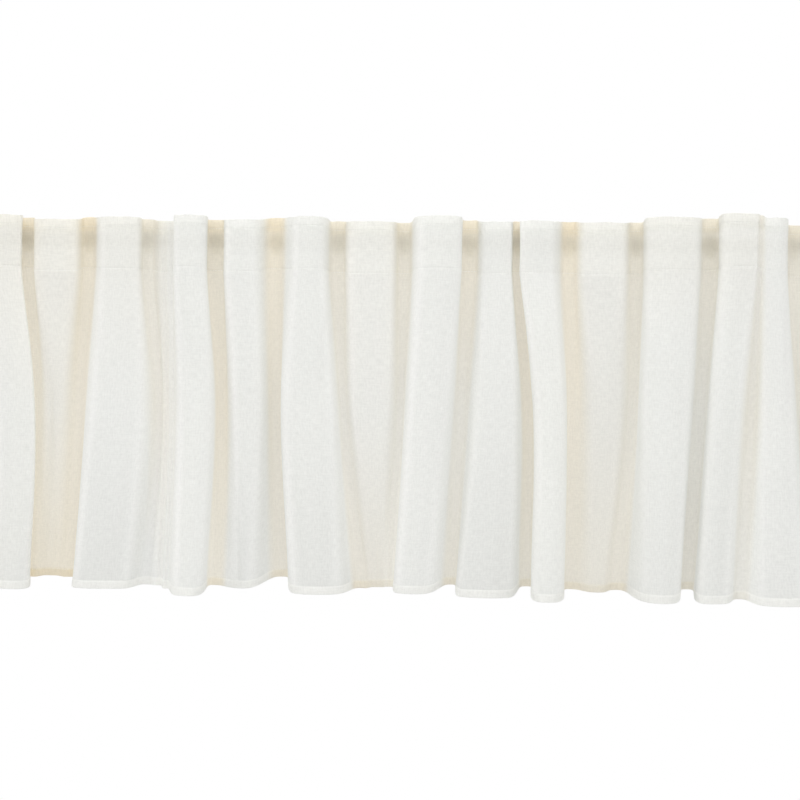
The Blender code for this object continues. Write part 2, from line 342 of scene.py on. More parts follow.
def middle(heights, places):
    """The cloth's middle surface: points (x, -out, z) and outward horizontal normals, on a grid of
    heights by places. A place counts stations from the left edge, so 3.5 is half-way from the
    fourth to the fifth.

    Each stretch between two stations is a cubic. Its end tangents lie along the line between the
    neighbouring stations, flattened so that crests and valleys are rounded but not peaked, and in
    the heading the valleys are quite level, because they lie flat on the rod. The normal is the
    cubic's own slope turned a quarter."""
    found, down = stations_at(heights)
    flat = found[:, :, :2]
    tangent = np.gradient(flat, axis=1)
    crown = np.full(flat.shape[:2], CREST_CROWN)
    floor = FLOOR_CROWN * np.minimum(1, 3 * down)
    crown[:, 0::4] = floor[:, None]
    crown[:, 1::4] = floor[:, None]
    tangent[:, :, 1] *= crown
    tangent /= np.linalg.norm(tangent, axis=2)[:, :, None]
    places = np.clip(places, 0, flat.shape[1] - 1)
    first = np.minimum(places.astype(int), flat.shape[1] - 2)
    t = (places - first)[None, :, None]
    start, end = flat[:, first], flat[:, first + 1]
    length = np.linalg.norm(end - start, axis=2)
    fullness = length[:, :, None] * np.array(FULLNESS)[first % 4]
    start_slope = tangent[:, first] * fullness[:, :, :1]
    end_slope = tangent[:, first + 1] * fullness[:, :, 1:]
    line = hermite(t, start, end, start_slope, end_slope)
    along = (
        (end - start) * (6 * t - 6 * t**2)
        + start_slope * (3 * t**2 - 4 * t + 1)
        + end_slope * (3 * t**2 - 2 * t)
    )
    along /= np.linalg.norm(along, axis=2)[:, :, None]
    ease = (3 * t**2 - 2 * t**3)[:, :, 0]
    rise = found[:, first, 2] * (1 - ease) + found[:, first + 1, 2] * ease
    z = np.asarray(heights, float)[:, None] + rise
    points = np.stack([line[:, :, 0], -line[:, :, 1], z], axis=2)
    run = np.stack([along[:, :, 0], -along[:, :, 1], np.zeros_like(z)], axis=2)
    normals = np.stack([run[:, :, 1], -run[:, :, 0], np.zeros_like(z)], axis=2)
    return points, normals, run


def ripple(u, v, terms, short, long, seed):
    """A smooth uneven surface from -1 to 1: a sum of sine waves, short from crest to crest along u
    and long along v, with seeded directions and phases."""
    random = np.random.default_rng(seed)
    total = np.zeros(np.broadcast(u, v).shape)
    for _ in range(terms):
        fu = random.uniform(0.6, 1.5) / short * random.choice((-1, 1))
        fv = random.uniform(0.4, 1.6) / long
        total += np.sin(2 * math.pi * (u * fu + v * fv + random.random()))
    return total / math.sqrt(terms) / 1.6


def flat_along():
    """How far along the flat cloth each place is, in mm: the mean of the arc lengths at the
    heading, the waist and the hem, at a fine step of places."""
    places = np.linspace(0, 4 * len(HEADING) + 1, 1400)
    points, _, _ = middle([TAPE_FOOT, WAIST, HEM_FOOT], places)
    steps = np.linalg.norm(np.diff(points[:, :, :2], axis=1), axis=2).mean(axis=0)
    return places, np.concatenate([[0], np.cumsum(steps)])


PLACES, ALONG = flat_along()
FLAT_WIDTH = ALONG[-1]


def mesh_object(name, corners, faces, material, uv=None, values=None):
    """A smooth mesh from corners in mm, with its own UV map and values per corner point."""
    mesh = bpy.data.meshes.new(name)
    corners = np.asarray(corners, float).reshape(-1, 3) * MM
    faces = np.asarray(faces, np.int32)
    mesh.vertices.add(len(corners))
    mesh.vertices.foreach_set("co", corners.ravel())
    mesh.loops.add(faces.size)
    mesh.loops.foreach_set("vertex_index", faces.ravel())
    mesh.polygons.add(len(faces))
    mesh.polygons.foreach_set("loop_start", np.arange(len(faces), dtype=np.int32) * faces.shape[1])
    mesh.update(calc_edges=True)
    mesh.shade_smooth()
    if uv is not None:
        layer = mesh.uv_layers.new(name="weave")
        layer.data.foreach_set("uv", np.asarray(uv).reshape(-1, 2)[faces.ravel()].ravel())
    for key, value in (values or {}).items():
        attribute = mesh.attributes.new(key, "FLOAT", "POINT")
        attribute.data.foreach_set("value", np.asarray(value, np.float32).ravel())
    mesh.materials.append(material)
    mesh.validate()
    made = bpy.data.objects.new(name, mesh)
    bpy.context.scene.collection.objects.link(made)
    return made


def grid_faces(rows, columns, closed_rows=False):
    """Quads of a grid of points, row after row; closed_rows joins the last row to the first."""
    r = np.arange(rows if closed_rows else rows - 1)[:, None] * columns
    c = np.arange(columns - 1)[None, :]
    a = r + c
    b = (a + columns) % (rows * columns)
    return np.stack([a, b, b + 1, a + 1], axis=2).reshape(-1, 4)


def turned(start, stop, edge, radius, steps):
    """A turned edge from the side, as (height, offset): up the back from start to the edge, a half
    circle of the given radius round it, and down the front to stop."""
    angle = np.linspace(-math.pi / 2, math.pi / 2, 9)
    sign = 1 if edge > start else -1
    back = np.linspace(start, edge - sign * radius, steps, endpoint=False)
    front = np.linspace(edge - sign * radius, stop, steps + 1)[1:]
    heights = [back, edge - sign * radius + sign * radius * np.cos(angle), front]
    offsets = [np.full(steps, -radius), radius * np.sin(angle), np.full(steps, radius)]
    return np.concatenate(heights), np.concatenate(offsets)


def cloth_rows():
    """The cloth from the side, as heights and offsets from its middle: its top edge turned to the
    back, the front face down to the hem, and the hem turned up behind."""
    top_z, top_off = turned(TURNED_EDGE, TOP_SEAM + 2, RUFFLE_TOP, RUFFLE_LAYER, 7)
    tape_z = np.concatenate(
        [
            TOP_SEAM + np.array([1.2, 0.5, 0, -0.5, -1.2, -2.4]),
            np.linspace(TOP_SEAM - 6, LOW_SEAM + 5, 11),
            LOW_SEAM + np.array([2.4, 1.2, 0.5, 0, -0.5, -1.2, -2.6]),
        ]
    )
    tape_off = RUFFLE_LAYER * np.clip((tape_z - TOP_SEAM + 8) / 8, 0, 1)
    body_z = np.linspace(LOW_SEAM - 6, HEM_SEAM + 7, 68)
    hem_front = HEM_SEAM + np.array([3.5, 1.8, 0.9, 0.4, 0, -0.4, -0.9, -2.0, -4.5])
    front_off = HEM_LAYER * np.clip((HEM_SEAM + 1.0 - hem_front) / 1.2, 0, 1)
    foot_z, foot_off = turned(HEM_SEAM + 0.8, HEM_SEAM - 6, HEM_FOOT, HEM_LAYER, 4)
    foot_z, foot_off = foot_z[::-1], foot_off[::-1]
    heights = np.concatenate([top_z, tape_z, body_z, hem_front, foot_z])
    offsets = np.concatenate([top_off, tape_off, np.zeros(len(body_z)), front_off, foot_off])
    return heights, offsets


def front_places():
    """The places across the cloth's front, ACROSS steps from each station to the next."""
    counts = [ACROSS[i % 4] for i in range(4 * len(HEADING) + 1)]
    steps = [i + np.arange(n) / n for i, n in enumerate(counts)]
    return np.concatenate([*steps, [4.0 * len(HEADING) + 1]])


def weave_uv(heights, offsets, places, shape):
    """A UV map in metres: how far each place is along the flat cloth, and how far each row is from
    the first, measured round the turned edges."""
    drop = np.concatenate([[0], np.cumsum(np.hypot(np.diff(heights), np.diff(offsets)))])
    u = np.broadcast_to(np.interp(places, PLACES, ALONG), shape)
    v = np.broadcast_to(-drop[:, None], shape)
    return np.stack([u, v], axis=2) * MM


def cloth_columns():
    """The places across the cloth, with each side hem turned to the back: places, offsets from the
    middle, and how far the turned edge reaches out along the cloth."""
    front = front_places()
    last = front[-1]
    left_in = np.interp(SIDE_HEM, ALONG, PLACES)
    right_in = np.interp(FLAT_WIDTH - SIDE_HEM, ALONG, PLACES)
    angle = np.linspace(-math.pi / 2, math.pi / 2, 5)[1:-1]
    left = np.linspace(left_in, 0, 4)
    right = np.linspace(last, right_in, 4)
    places = np.concatenate([left, np.zeros(3), front, np.full(3, last), right])
    radius = HEM_LAYER * 0.8
    offsets = np.concatenate(
        [
            np.full(4, -2 * radius),
            radius * (np.sin(angle) - 1),
            np.zeros(len(front)),
            radius * (np.sin(angle[::-1]) - 1),
            np.full(4, -2 * radius),
        ]
    )
    reach = np.concatenate(
        [
            np.zeros(4),
            -radius * np.cos(angle),
            np.zeros(len(front)),
            radius * np.cos(angle),
            np.zeros(4),
        ]
    )
    return places, offsets, reach


def bell(distance, width):
    """1 at distance 0, falling away smoothly over width."""
    return np.exp(-((distance / width) ** 2))


def place_of(folds):
    """The place that a crease table's count of folds means: n.5 is the middle of fold n's crest,
    and a whole number the middle of the valley on its left."""
    return 4 * (np.asarray(folds, float) - 1) + 0.5


def relief(heights, places):
    """How far the cloth stands off its smooth folds, in mm: creases, the puckers that each seam
    draws up on both sides, the small trough that its stitches pull in, and faint ripples."""
    u = np.interp(places, PLACES, ALONG)[None, :]
    z = np.asarray(heights, float)[:, None]
    total = np.zeros((len(heights), len(places)))
    for crease in CREASES:
        down = (crease.top_z - z) / (crease.top_z - crease.foot_z)
        where = np.interp(
            place_of(crease.top) + (place_of(crease.foot) - place_of(crease.top)) * down,
            PLACES,
            ALONG,
        )
        ends = np.clip(down, 0, 1)
        fade = np.sin(math.pi * ends) ** 0.7
        total += crease.height * bell(u - where, crease.width) * fade
    pucker = ripple(u, z, 9, 11, 60, 4)
    fine = ripple(u, z, 9, 6, 40, 9)
    for seam, reach in ((TOP_SEAM, 5), (LOW_SEAM, 9), (HEM_SEAM, 5)):
        near = bell(z - seam, reach)
        total += (PUCKER * pucker + FINE_PUCKER * fine) * near
        total -= SEAM_TROUGH * bell(z - seam, SEAM_TROUGH_WIDTH)
    below = np.clip((LOW_SEAM - z) / 60, 0, 1) * np.clip((z - HEM_FOOT) / 40, 0, 1)
    total += WAVE * ripple(u, z, 10, 34, 420, 21) * below
    total += FINE_WAVE * ripple(u, z, 10, 16, 150, 31) * below
    frill = np.clip((z - TOP_SEAM) / (RUFFLE_TOP - TOP_SEAM), 0, 1)
    total += FRILL * ripple(u, z * 0, 10, 24, 900, 12) * frill
    return total


def cloth_points(heights, offsets, places, side_offsets, reach):
    """The cloth's points: its middle surface, moved along the normals by the layers' offsets and
    the relief, and out along the cloth where a side hem turns."""
    points, normals, run = middle(heights, places)
    stand = offsets[:, None] + side_offsets[None, :] + relief(heights, places)
    found = points + normals * stand[:, :, None] + run * reach[None, :, None]
    lift = ripple(np.interp(places, PLACES, ALONG)[None, :], np.zeros((1, 1)), 8, 31, 500, 17)
    top = np.clip((heights - TOP_SEAM) / (RUFFLE_TOP - TOP_SEAM), 0, 1)[:, None]
    found[:, :, 2] += FRILL_LIFT * lift * top
    return found


def painted_shade_tones(heights, places):
    """The painted shade of each point: the shade table's valley value in a valley, fading within the
    painted valley shade's reach of it into the crest's value, and each eased from height to height."""
    table = np.array(SHADE_TONES)
    z = np.clip(np.asarray(heights, float), HEM_FOOT, TAPE_FOOT)
    levels = (HEM_FOOT, WAIST, TAPE_FOOT)
    parts = np.column_stack([np.interp(z, levels, share) for share in np.eye(3)])
    along = np.interp(places, PLACES, ALONG)
    block = np.clip(places // 4, 0, len(HEADING) - 1).astype(int)
    from_left = along - np.interp(4 * block + 1, PLACES, ALONG)
    from_right = np.interp(4 * block + 4, PLACES, ALONG) - along
    near_left = bell(np.maximum(from_left, 0), VALLEY_SHADE_REACH)
    near_right = bell(np.maximum(from_right, 0), VALLEY_SHADE_REACH)
    both = np.maximum(near_left + near_right, 1)
    on_crest = parts @ table[block + 1][:, [2, 1, 0]].T
    at_left = parts @ table[block][:, [5, 4, 3]].T
    at_right = parts @ table[block + 1][:, [5, 4, 3]].T
    alone = np.clip(1 - near_left - near_right, 0, 1)
    return on_crest * alone + at_left * near_left / both + at_right * near_right / both


def highlight_and_doubling(heights, places):
    """How pale each point is, up to 1: a painted highlight along the sides of a crest, where the
    cloth turns back, fading over the wall and more quickly over the crest, less where the fold isn't
    FULL_STEP deep, and scaled by each edge's share; and on the ruffle and the hem, where the cloth is
    double."""
    outs = stations_at(heights)[0][:, :, 1]
    block = np.minimum((np.clip(places, 0, None) // 4).astype(int), len(HEADING) - 1)
    along = np.interp(places, PLACES, ALONG)
    total = np.zeros((len(heights), len(places)))
    left_share = np.array(SHADE_TONES)[block + 1, 6]
    for crest, valley, side, share in ((2, 1, -1, left_share), (3, 4, 1, RIGHT_HIGHLIGHT_SHARE)):
        step = outs[:, 4 * block + crest] - outs[:, 4 * block + valley]
        past = side * (along - np.interp(4 * block + crest, PLACES, ALONG))
        near = bell(past, np.where(past > 0, WALL_HIGHLIGHT_WIDTH, EDGE_HIGHLIGHT_WIDTH))
        total += np.clip(step / FULL_STEP, 0, 1) * near * np.where(past > 0, 0.4 + 0.6 * share, share)
    ruffle = RUFFLE_PALENESS * np.clip((heights - TOP_SEAM) / 2, 0, 1)
    hem = HEM_PALENESS * np.clip((HEM_SEAM + 1.5 - heights) / 1.5, 0, 1)
    return np.clip(np.maximum(total, (ruffle + hem)[:, None]), 0, 1)


def make_cloth(material):
    """The cloth as one thin sheet, with all four of its turned edges."""
    heights, offsets = cloth_rows()
    places, side_offsets, reach = cloth_columns()
    points = cloth_points(heights, offsets, places, side_offsets, reach)
    faces = grid_faces(len(heights), len(places))
    tone = painted_shade_tones(heights, places)
    values = {
        # painted grey shade, where the shade table is below 0
        "grey_shade": np.clip(-tone, 0, 1),
        # painted highlights along the crests' edges, and the paler double cloth of the ruffle and the
        # hem
        "highlight_and_doubling": highlight_and_doubling(heights, places),
        # painted shade in the valleys
        "valley_shade": np.clip(tone, 0, 1),
    }
    uv = weave_uv(heights, offsets, places, points.shape[:2])
    return mesh_object("valance_sheet", points, faces, material, uv, values)


def make_tape(material):
    """The heading tape as a thin band behind the cloth, with a turned lip along both edges."""
    places = front_places()
    front = np.linspace(TAPE_TOP - 0.4, TAPE_FOOT + 0.4, 20)
    angle = np.linspace(math.pi / 2, -math.pi / 2, 5)[1:-1]
    foot_z = TAPE_FOOT + 0.4 - 0.4 * np.cos(angle)
    top_z = TAPE_TOP - 0.4 + 0.4 * np.cos(angle)
    heights = np.concatenate([front, foot_z, front[::-1], top_z])
    offsets = TAPE_OFFSET + TAPE_HALF * np.concatenate(
        [np.ones(20), np.sin(angle), -np.ones(20), -np.sin(angle)]
    )
    points, normals, _ = middle(heights, places)
    points = points + normals * offsets[:, None, None]
    edge = np.clip(1 - np.minimum(TAPE_TOP - heights, heights - TAPE_FOOT) / 5, 0, 1)
    values = {"border": np.broadcast_to(edge[:, None], points.shape[:2])}
    faces = grid_faces(len(heights), len(places), closed_rows=True)
    uv = weave_uv(heights, offsets, places, points.shape[:2])
    made = mesh_object("tape_band", points, faces, material, uv, values)
    close_ends(made, len(heights), len(places))
    return made


def close_ends(made, rows, columns):
    """Closes a banded tube's two open ends with one face each."""
    shape = bmesh.new()
    shape.from_mesh(made.data)
    shape.verts.ensure_lookup_table()
    left = [shape.verts[r * columns] for r in range(rows)]
    right = [shape.verts[r * columns + columns - 1] for r in range(rows)]
    shape.faces.new(left)
    shape.faces.new(right[::-1])
    shape.to_mesh(made.data)
    shape.free()


def loop_line():
    """A loop's middle line from the side, as points (y, z): down the tape, straight back to the
    rod, round behind it in an arc, and the same again below."""
    seat_y = -(ROD_RADIUS - LOOP_MIDDLE)
    radius = ROD_RADIUS + LOOP_GAP + LOOP_MIDDLE
    corner = math.hypot(seat_y, LOOP_REACH)
    touch = math.atan2(LOOP_REACH, seat_y) - math.acos(radius / corner)
    angles = np.linspace(touch, -touch, 33)
    arc = np.column_stack([np.cos(angles), np.sin(angles)]) * radius
    seat = np.column_stack([np.full(5, seat_y), np.linspace(LOOP_REACH + LOOP_SEAT, LOOP_REACH, 5)])
    span = np.linspace([seat_y, LOOP_REACH], arc[0], 7)[1:-1]
    upper = np.vstack([seat, span])
    lower = upper[::-1] * (1, -1)
    return np.vstack([upper, arc, lower])


def make_loop(number, x, material):
    """One loop: a flat strap with rounded edges, carried along loop_line. Its cross-section is a
    stadium, LOOP_WIDTH across and LOOP_THICK through."""
    line = loop_line()
    run = np.gradient(line, axis=0)
    run /= np.linalg.norm(run, axis=1)[:, None]
    normal = np.column_stack([-run[:, 1], run[:, 0]])
    half = LOOP_THICK / 2
    turn = np.linspace(-math.pi / 2, math.pi / 2, 5)
    flat = LOOP_WIDTH / 2 - half
    across = np.linspace(-flat, flat, 9)
    side_x, side_n = flat + half * np.cos(turn), half * np.sin(turn)
    inner = across[1:-1]
    ring_x = np.concatenate([side_x, inner[::-1], -side_x, inner])
    ring_n = np.concatenate([side_n, np.full(7, half), -side_n, np.full(7, -half)])
    rows, columns = len(ring_x), len(line)
    points = np.zeros((rows, columns, 3))
    points[:, :, 0] = x + ring_x[:, None]
    points[:, :, 1:] = line[None, :, :] + normal[None, :, :] * ring_n[:, None, None]
    along = np.concatenate([[0], np.cumsum(np.linalg.norm(np.diff(line, axis=0), axis=1))])
    u = np.broadcast_to(x + ring_x[:, None], (rows, columns))
    v = np.broadcast_to(along[None, :], (rows, columns))
    faces = grid_faces(rows, columns, closed_rows=True)
    uv = np.stack([u, v], axis=2) * MM
    border = (np.abs(ring_x) > flat - 2).astype(float)
    values = {"border": np.broadcast_to(border[:, None], (rows, columns))}
    made = mesh_object(f"loop_strap_{number:02d}", points, faces, material, uv, values)
    close_ends(made, rows, columns)
    return made


def make_rod(material):
    """The rod: a circle carried along X, with a small rounded edge at each end, closed by a flat
    end face."""
    around = 96
    curl = np.linspace(0, math.pi / 2, 6)
    edge_x = ROD_LENGTH / 2 - ROD_EDGE + ROD_EDGE * np.sin(curl)
    edge_r = ROD_RADIUS - ROD_EDGE + ROD_EDGE * np.cos(curl)
    half_x = np.concatenate([np.linspace(0, edge_x[0], 40), edge_x[1:], [edge_x[-1]] * 2])
    half_r = np.concatenate([np.full(40, ROD_RADIUS), edge_r[1:], [ROD_RADIUS * 0.5, 0.02]])
    xs = np.concatenate([-half_x[::-1][:-1], half_x])
    radii = np.concatenate([half_r[::-1][:-1], half_r])
    angle = np.arange(around) / around * 2 * math.pi
    points = np.zeros((around, len(xs), 3))
    points[:, :, 0] = xs[None, :]
    points[:, :, 1] = np.cos(angle)[:, None] * radii[None, :]
    points[:, :, 2] = np.sin(angle)[:, None] * radii[None, :]
    faces = grid_faces(around, len(xs), closed_rows=True)[:, ::-1]
    u = np.broadcast_to(xs[None, :], points.shape[:2])
    v = np.broadcast_to((angle * ROD_RADIUS)[:, None], points.shape[:2])
    return mesh_object("rod_tube", points, faces, material, np.stack([u, v], axis=2) * MM)


def make_stitches(name, seam, offset, material, seed):
    """A row of stitches along a seam. Each is a short thread, a tube of six sides that rises from
    the cloth, runs along it and sinks in again: its height is a half sine over its length."""
    random = np.random.default_rng(seed)
    count = int((FLAT_WIDTH - 8) / STITCH_PITCH)
    starts = 4 + np.arange(count) * STITCH_PITCH + random.uniform(-0.15, 0.15, count)
    share = np.linspace(0, 1, 6)
    along = starts[:, None] + share[None, :] * STITCH_LENGTH
    places = np.interp(along.ravel(), ALONG, PLACES)
    heights = np.array([seam, seam - 0.5])
    points, normals, _ = middle(heights, places)
    stand = (relief(heights, places) + offset)[:, :, None]
    surface = points + normals * stand
    line = surface[0].reshape(count, 6, 3)
    normal = normals[0].reshape(count, 6, 3)
    up = np.array([0, 0, 1.0])
    bow = np.sin(math.pi * share) ** 0.5 * THREAD_RADIUS * 1.15 - THREAD_RADIUS * 0.55
    line = line + normal * bow[None, :, None]
    line[:, :, 2] += random.uniform(-0.12, 0.12, count)[:, None]
    angle = np.arange(6) / 6 * 2 * math.pi
    round_normal = np.cos(angle)[None, :, None, None] * normal[:, None, :, :]
    round_up = np.sin(angle)[None, :, None, None] * up
    width = THREAD_RADIUS * (0.35 + 0.65 * np.sin(math.pi * np.clip(share, 0.06, 0.94)) ** 0.4)
    tube = line[:, None, :, :] + (round_normal + round_up) * width[None, None, :, None]
    one = grid_faces(6, 6, closed_rows=True)
    faces = (one[None, :, :] + (np.arange(count) * 36)[:, None, None]).reshape(-1, 4)
    return mesh_object(name, tube, faces[:, ::-1], material)


# Materials


def new_material(name):
    """An empty material, and its nodes and links."""
    material = bpy.data.materials.new(name)
    material.use_nodes = True
    nodes = material.node_tree.nodes
    nodes.clear()
    return material, nodes, material.node_tree.links


def weave_group():
    """Plain weave on a UV map in metres: uneven warp and weft threads with slubs, and faint clouds
    where the yarn is finer. Puts out a tone around 1 and a height around 0.5."""
    group = bpy.data.node_groups.new("plain_weave", "ShaderNodeTree")
    sockets = group.interface
    sockets.new_socket("Vector", in_out="INPUT", socket_type="NodeSocketVector")
    for name, value in (("Threads", 900.0), ("Slub", 0.05), ("Cloud", 0.03)):
        made = sockets.new_socket(name, in_out="INPUT", socket_type="NodeSocketFloat")
        made.default_value = value
    sockets.new_socket("Tone", in_out="OUTPUT", socket_type="NodeSocketFloat")
    sockets.new_socket("Height", in_out="OUTPUT", socket_type="NodeSocketFloat")
    nodes, links = group.nodes, group.links
    inside = nodes.new("NodeGroupInput")
    outside = nodes.new("NodeGroupOutput")

    def math_node(operation, a, b):
        """operation on a and b, which are numbers or other nodes' outputs."""
        node = nodes.new("ShaderNodeMath")
        node.operation = operation
        for socket, value in zip(node.inputs, (a, b)):
            if isinstance(value, (int, float)):
                socket.default_value = value
            else:
                links.new(value, socket)
        return node.outputs[0]

    def threads(stretch, detail):
        """Noise on the UV map times stretch, so that it is long where stretch is small."""
        scale = nodes.new("ShaderNodeVectorMath")
        scale.operation = "MULTIPLY"
        links.new(inside.outputs["Vector"], scale.inputs[0])
        scale.inputs[1].default_value = stretch
        noise = nodes.new("ShaderNodeTexNoise")
        noise.noise_dimensions = "2D"
        noise.inputs["Scale"].default_value = 1.0
        noise.inputs["Detail"].default_value = detail
        noise.inputs["Roughness"].default_value = 0.6
        links.new(scale.outputs[0], noise.inputs["Vector"])
        return noise.outputs["Fac"]

    warp = threads((520.0, 120.0, 1.0), 2.0)
    weft = threads((110.0, 520.0, 1.0), 2.0)
    cloud = threads((14.0, 9.0, 1.0), 3.0)
    both = math_node("ADD", math_node("MULTIPLY", warp, 1.15), math_node("MULTIPLY", weft, 0.85))
    slub = math_node("MULTIPLY", math_node("SUBTRACT", both, 1.0), inside.outputs["Slub"])
    haze = math_node("MULTIPLY", math_node("SUBTRACT", cloud, 0.5), inside.outputs["Cloud"])
    tone = math_node("ADD", math_node("ADD", slub, haze), 1.0)
    links.new(tone, outside.inputs["Tone"])

    split = nodes.new("ShaderNodeSeparateXYZ")
    links.new(inside.outputs["Vector"], split.inputs[0])
    turns = math_node("MULTIPLY", inside.outputs["Threads"], 2 * math.pi)
    over = math_node("SINE", math_node("MULTIPLY", split.outputs[0], turns), 0.0)
    under = math_node("SINE", math_node("MULTIPLY", split.outputs[1], turns), 0.0)
    cross = math_node("MULTIPLY", over, under)
    height = math_node("ADD", math_node("MULTIPLY", cross, 0.18), math_node("MULTIPLY", both, 0.5))
    links.new(height, outside.inputs["Height"])
    return group


def tinted(nodes, links, tone, color, turns):
    """color turned in order towards each other color of turns by the attribute of that name, and
    all of it times the tone."""
    found = None
    for attribute, other in turns:
        mask = nodes.new("ShaderNodeAttribute")
        mask.attribute_name = attribute
        mix = nodes.new("ShaderNodeMix")
        mix.data_type = "RGBA"
        mix.inputs[6].default_value = (*color, 1)
        mix.inputs[7].default_value = (*other, 1)
        links.new(mask.outputs["Fac"], mix.inputs[0])
        if found:
            links.new(found, mix.inputs[6])
        found = mix.outputs[2]
    shade = nodes.new("ShaderNodeMix")
    shade.data_type = "RGBA"
    shade.blend_type = "MULTIPLY"
    shade.inputs[0].default_value = 1.0
    links.new(found, shade.inputs[6])
    links.new(tone, shade.inputs[7])
    return shade.outputs[2]


def cloth_material(weave):
    """Off-white, semi-sheer linen-look weave: light scatters off it and glows through it, and a
    little passes straight between its threads."""
    material, nodes, links = new_material("off_white_voile")
    uv = nodes.new("ShaderNodeUVMap")
    uv.uv_map = "weave"
    weaving = nodes.new("ShaderNodeGroup")
    weaving.node_tree = weave
    weaving.inputs["Slub"].default_value = CLOTH_SLUB
    weaving.inputs["Cloud"].default_value = CLOTH_CLOUD
    weaving.inputs["Threads"].default_value = CLOTH_THREADS
    links.new(uv.outputs[0], weaving.inputs["Vector"])
    turns = (
        # painted grey shade, mostly on the crests towards the hem
        ("grey_shade", CLOTH_GREY_SHADE_COLOR),
        # painted highlights along the crests' edges, and the paler double cloth of the ruffle and the
        # hem
        ("highlight_and_doubling", CLOTH_HIGHLIGHT_AND_DOUBLED_COLOR),
        # painted shade in the valleys, darker and yellower
        ("valley_shade", CLOTH_VALLEY_SHADE_COLOR),
    )
    color = tinted(nodes, links, weaving.outputs["Tone"], CLOTH_COLOR, turns)
    bump = nodes.new("ShaderNodeBump")
    bump.inputs["Strength"].default_value = 0.5
    bump.inputs["Distance"].default_value = 0.0004
    links.new(weaving.outputs["Height"], bump.inputs["Height"])
    shader = nodes.new("ShaderNodeBsdfPrincipled")
    shader.inputs["Roughness"].default_value = 0.9
    shader.inputs["Specular IOR Level"].default_value = 0.15
    shader.inputs["Sheen Weight"].default_value = CLOTH_SHEEN
    shader.inputs["Sheen Roughness"].default_value = 0.5
    links.new(color, shader.inputs["Base Color"])
    links.new(bump.outputs[0], shader.inputs["Normal"])
    glow = nodes.new("ShaderNodeBsdfTranslucent")
    links.new(color, glow.inputs["Color"])
    links.new(bump.outputs[0], glow.inputs["Normal"])
    lit = nodes.new("ShaderNodeMixShader")
    lit.inputs[0].default_value = CLOTH_GLOW
    links.new(shader.outputs[0], lit.inputs[1])
    links.new(glow.outputs[0], lit.inputs[2])
    clear = nodes.new("ShaderNodeBsdfTransparent")
    # The painted valley shade's mask also lets more light pass straight between the threads in the
    # valleys
    depth = nodes.new("ShaderNodeAttribute")
    depth.attribute_name = "valley_shade"
    gaps = nodes.new("ShaderNodeMapRange")
    gaps.inputs["To Min"].default_value = CLOTH_OPEN
    gaps.inputs["To Max"].default_value = VALLEY_OPEN
    links.new(depth.outputs["Fac"], gaps.inputs["Value"])
    sheer = nodes.new("ShaderNodeMixShader")
    links.new(gaps.outputs[0], sheer.inputs[0])
    links.new(lit.outputs[0], sheer.inputs[1])
    links.new(clear.outputs[0], sheer.inputs[2])
    out = nodes.new("ShaderNodeOutputMaterial")
    links.new(sheer.outputs[0], out.inputs["Surface"])
    return material


def tape_material(name, weave, open_share):
    """Narrow woven tape, a little greyer and closer than the cloth, denser along both borders.
    open_share is how much of the light passes straight through it."""
    material, nodes, links = new_material(name)
    uv = nodes.new("ShaderNodeUVMap")
    uv.uv_map = "weave"
    weaving = nodes.new("ShaderNodeGroup")
    weaving.node_tree = weave
    weaving.inputs["Slub"].default_value = 0.16
    weaving.inputs["Cloud"].default_value = 0.02
    weaving.inputs["Threads"].default_value = TAPE_THREADS
    links.new(uv.outputs[0], weaving.inputs["Vector"])
    turns = (("border", TAPE_BORDER_COLOR),)
    color = tinted(nodes, links, weaving.outputs["Tone"], TAPE_COLOR, turns)
    bump = nodes.new("ShaderNodeBump")
    bump.inputs["Strength"].default_value = 0.7
    bump.inputs["Distance"].default_value = 0.0005
    links.new(weaving.outputs["Height"], bump.inputs["Height"])
    shader = nodes.new("ShaderNodeBsdfPrincipled")
    shader.inputs["Roughness"].default_value = 0.8
    shader.inputs["Specular IOR Level"].default_value = 0.2
    shader.inputs["Sheen Weight"].default_value = 0.15
    links.new(color, shader.inputs["Base Color"])
    links.new(bump.outputs[0], shader.inputs["Normal"])
    glow = nodes.new("ShaderNodeBsdfTranslucent")
    links.new(color, glow.inputs["Color"])
    lit = nodes.new("ShaderNodeMixShader")
    lit.inputs[0].default_value = TAPE_GLOW
    links.new(shader.outputs[0], lit.inputs[1])
    links.new(glow.outputs[0], lit.inputs[2])
    clear = nodes.new("ShaderNodeBsdfTransparent")
    sheer = nodes.new("ShaderNodeMixShader")
    sheer.inputs[0].default_value = open_share
    links.new(lit.outputs[0], sheer.inputs[1])
    links.new(clear.outputs[0], sheer.inputs[2])
    out = nodes.new("ShaderNodeOutputMaterial")
    links.new(sheer.outputs[0], out.inputs["Surface"])
    return material


def thread_material():
    """Sewing thread: off-white, with a faint twist."""
    material, nodes, links = new_material("sewing_thread")
    where = nodes.new("ShaderNodeTexCoord")
    twist = nodes.new("ShaderNodeTexWave")
    twist.wave_type = "BANDS"
    twist.bands_direction = "DIAGONAL"
    twist.inputs["Scale"].default_value = 900.0
    links.new(where.outputs["Object"], twist.inputs["Vector"])
    tone = nodes.new("ShaderNodeMix")
    tone.data_type = "RGBA"
    tone.inputs[6].default_value = (*THREAD_COLOR, 1)
    tone.inputs[7].default_value = (*THREAD_PALE_COLOR, 1)
    links.new(twist.outputs["Fac"], tone.inputs[0])
    shader = nodes.new("ShaderNodeBsdfPrincipled")
    shader.inputs["Roughness"].default_value = 0.6
    shader.inputs["Sheen Weight"].default_value = 0.2
    links.new(tone.outputs[2], shader.inputs["Base Color"])
    out = nodes.new("ShaderNodeOutputMaterial")
    links.new(shader.outputs[0], out.inputs["Surface"])
    return material


